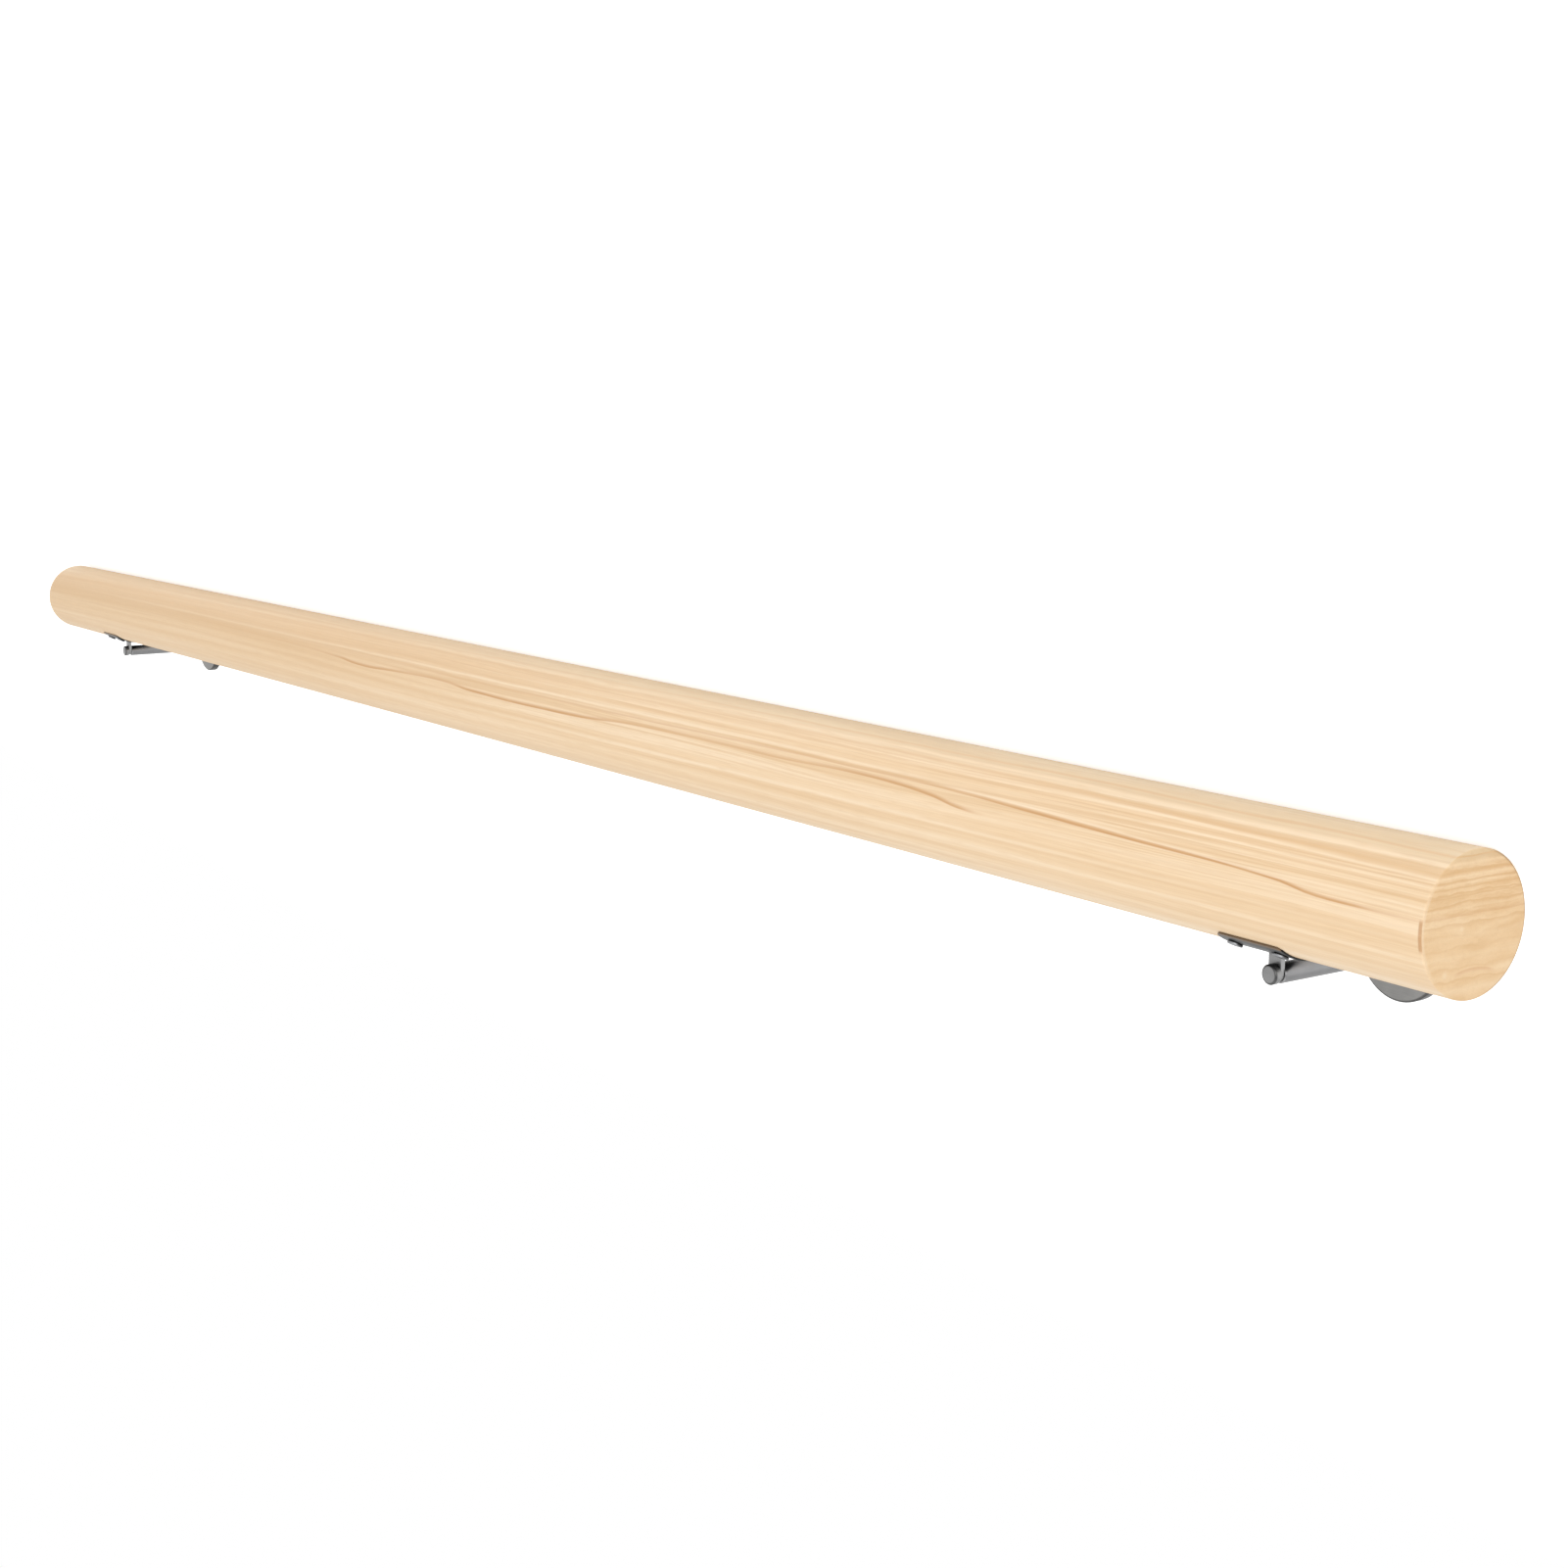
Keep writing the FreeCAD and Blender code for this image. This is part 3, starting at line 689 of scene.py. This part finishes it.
def make_rail(material):
    """The round rail, smooth all round, with a small round on the arris of each end."""
    half, radius = RAIL_HALF / MM, RAIL_RADIUS / MM
    arris = round_corner((half, radius), (0, radius), (half, 0), RAIL_ARRIS)
    straight = 2 * half - 2 * RAIL_ARRIS
    along = [-half + RAIL_ARRIS + straight * i / RAIL_STATIONS for i in range(1, RAIL_STATIONS)]
    face_rings = [radius * share for share in (0.0, 0.25, 0.5, 0.75, 0.9)]
    profile = [(-half, r) for r in face_rings]
    profile += [(-p.x, p.y) for p in reversed(arris)]
    profile += [(a, radius) for a in along]
    profile += [(p.x, p.y) for p in arris]
    profile += [(half, r) for r in reversed(face_rings)]
    dress("rail", lathe(profile, RAIL_SEGMENTS), material)


def make_turned(node, material, bore):
    """An arm or a bolt, turned finely from the CAD node's own profile, with its origin at its front."""
    points = hanging_points(node)
    front = balance(points)
    front.y = min(p.y for p in points)
    profile = soft_profile(turned_corners(points, front, TOWARD_WALL, bore), METAL_ARRIS)
    turn = TOWARD_WALL.to_track_quat("X", "Z").to_matrix().to_4x4()
    dress(node, lathe(profile, METAL_SEGMENTS, turn), material, front)


def make_cross(top):
    """A cutter for a cross recess: a prism that narrows downwards from above a screw's top."""
    arm, web = CROSS_LENGTH / 2, CROSS_WIDTH / 2
    outline = [Matrix.Rotation(-turn * math.pi / 2, 2) @ Vector(corner)
               for turn in range(4) for corner in ((web, arm), (web, web), (arm, web))]
    bm = bmesh.new()
    low, high = ([bm.verts.new((top + along, taper * y, taper * z)) for y, z in outline]
                 for along, taper in ((-CROSS_DEPTH, CROSS_TAPER), (CROSS_DEPTH, 1.0)))
    for i in range(len(outline)):
        bm.faces.new((low[i - 1], low[i], high[i], high[i - 1]))
    bm.faces.new(low)
    bm.faces.new(high)
    bmesh.ops.recalc_face_normals(bm, faces=bm.faces)
    return finished(bm, "cross")


def screw_place(node):
    """Where a saddle screw's line meets the rail's axis, and which way its head lies from there."""
    spot = balance(hanging_points(node))
    return Vector((spot.x, 0, 0)), Vector((0, spot.y, spot.z)).normalized()


def screw_shape(node):
    """A round-headed wood screw along X, in millimetres, with a thread and a cross recess."""
    corners = turned_corners(hanging_points(node), *screw_place(node))
    tip, shank = corners[1]
    neck, head = corners[2][0], corners[-2][0]
    start, step = tip + SCREW_POINT, SCREW_PITCH / THREAD_STEPS
    profile = [(tip, 0.0)]
    profile += [(start + i * step, shank) for i in range(int((neck - start) / step))]
    profile += soft_profile(corners[2:], HEAD_ROUND)[1:]
    mesh = lathe(profile, METAL_SEGMENTS, thread=(start, neck - SCREW_NECK))
    return recessed(mesh, make_cross(head))


def make_screw(node, shape, material):
    """A saddle screw, pointing at the rail's axis."""
    centre, axis = screw_place(node)
    mesh = shape.copy()
    mesh.transform(axis.to_track_quat("X", "Z").to_matrix().to_4x4())
    dress(node, mesh, material, centre)


def make_bracket(side, screw, steels):
    """One bracket's pieces: the arm with its bolt, the saddle and the rosette, and the saddle's screws."""
    for name, bore in (("arm", ARM_BORE), ("arm_bolt", 0)):
        make_turned(f"{name}_{side}", steels[name], bore)
    arm_centre = balance(hanging_points(f"arm_{side}"))
    for name in ("saddle", "rosette"):
        node = f"{name}_{side}"
        points = hanging_points(node)
        depths = [p.y for p in points]
        origin = Vector((arm_centre.x, (min(depths) + max(depths)) / 2, arm_centre.z))
        dress(node, softened(points, node, origin), steels[name], origin)
    for number in range(1, 5):
        make_screw(f"saddle_screw_{side}_{number}", screw, steels["saddle_screw"])


def make_floor(material):
    """A wide pale floor just below the height that the rail rests on."""
    bm = bmesh.new()
    bmesh.ops.create_grid(bm, x_segments=8, y_segments=8, size=FLOOR_REACH)
    mesh = bpy.data.meshes.new("floor")
    bm.to_mesh(mesh)
    bm.free()
    mesh.materials.append(material)
    floor = bpy.data.objects.new("floor", mesh)
    floor.location.z = cad_low.z - FLOOR_GAP
    bpy.context.scene.collection.objects.link(floor)


def make_world():
    """White to the camera and in reflections, and an even soft light on everything else."""
    s = Shader(bpy.data.worlds.new("studio"), "OutputWorld")
    background = s.node("Background")
    background.inputs["Color"].default_value = WHITE
    s.feed(background.inputs["Strength"], s.remap(s.seen(), 0.0, 1.0, AMBIENT, 1.0, smooth=False))
    bpy.context.scene.world = s.closed(background)


def make_lamp(name, spot, width, height, power):
    """A soft lamp that faces the middle of the rail."""
    light = bpy.data.lights.new(name, "AREA")
    light.shape = "RECTANGLE"
    light.size = width
    light.size_y = height
    light.energy = power
    lamp = bpy.data.objects.new(name, light)
    lamp.location = spot
    lamp.rotation_euler = (RAIL_CENTRE - Vector(spot)).to_track_quat("-Z", "Y").to_euler()
    bpy.context.scene.collection.objects.link(lamp)


def make_camera():
    """The photograph's camera: level with a hanging rail, and so upside down over a lying one."""
    forward = Vector((-math.sin(CAMERA_YAW) * math.cos(CAMERA_PITCH),
                      math.cos(CAMERA_YAW) * math.cos(CAMERA_PITCH), -math.sin(CAMERA_PITCH)))
    right = Vector((math.cos(CAMERA_YAW), math.sin(CAMERA_YAW), 0))
    up = right.cross(forward)
    turn = Matrix((right, up, -forward)).transposed().to_4x4()
    spot = Vector((RAIL_HALF, 0, 0)) + CAMERA_SPOT
    data = bpy.data.cameras.new("camera")
    data.sensor_width = SENSOR_MM
    data.lens = SENSOR_MM * FOCAL_PIXELS / IMAGE_SIDE
    data.clip_start = 0.01
    data.clip_end = 50
    camera = bpy.data.objects.new("camera", data)
    camera.matrix_world = HANG @ Matrix.Translation(spot) @ turn
    bpy.context.scene.collection.objects.link(camera)
    bpy.context.scene.camera = camera


# Materials: the wood, and the steel of each kind of piece
wood = wood_material()
steels = {
    "arm": steel_material("arm_steel", (137, 137, 138), "Y", shadow=(6, 0.2, 0.5), paints_plate_reflection=True),
    "arm_bolt": steel_material("arm_bolt_steel", (144, 144, 144), "Y", shadow=(5, 0.02, 0.7), rim=(3.1, 0.3)),
    "saddle": steel_material("saddle_steel", (149, 149, 149), "X", shadow=(2, 0.5, 0.5), edge=13.6),
    "rosette": steel_material("rosette_steel", (142, 141, 139), "X", shadow=(4, 0.3, 0.3), rim=(16.45, 4)),
    "saddle_screw": steel_material("saddle_screw_steel", (148, 149, 151), "Y", shadow=(1, 0.8, 0.8), painted_shade_from=1.7),
}

# Each CAD solid wears one material of its slot
slot_materials = {
    "rail_wood": wood,
    "bracket_steel": steels["rosette"],
    "fastener_steel": steels["saddle_screw"],
}
for part in frame["record"]["subparts"]:
    mesh = frame["nodes"][part["node"]].data
    mesh.materials.clear()
    mesh.materials.append(slot_materials[part["material_slot"]])

# The dressed pieces, then the floor, the light and the camera
make_rail(wood)
screw = screw_shape("saddle_screw_left_1")
for side in ("left", "right"):
    make_bracket(side, screw, steels)
make_floor(floor_material())
make_world()
make_lamp("low_front", spot=(-2.3, -2.2, 0.6), width=2.4, height=1.0, power=23)
make_lamp("top", spot=(-0.4, -0.4, 2.6), width=2.4, height=2.0, power=17)
make_camera()

bpy.context.scene.view_settings.view_transform = "Standard"
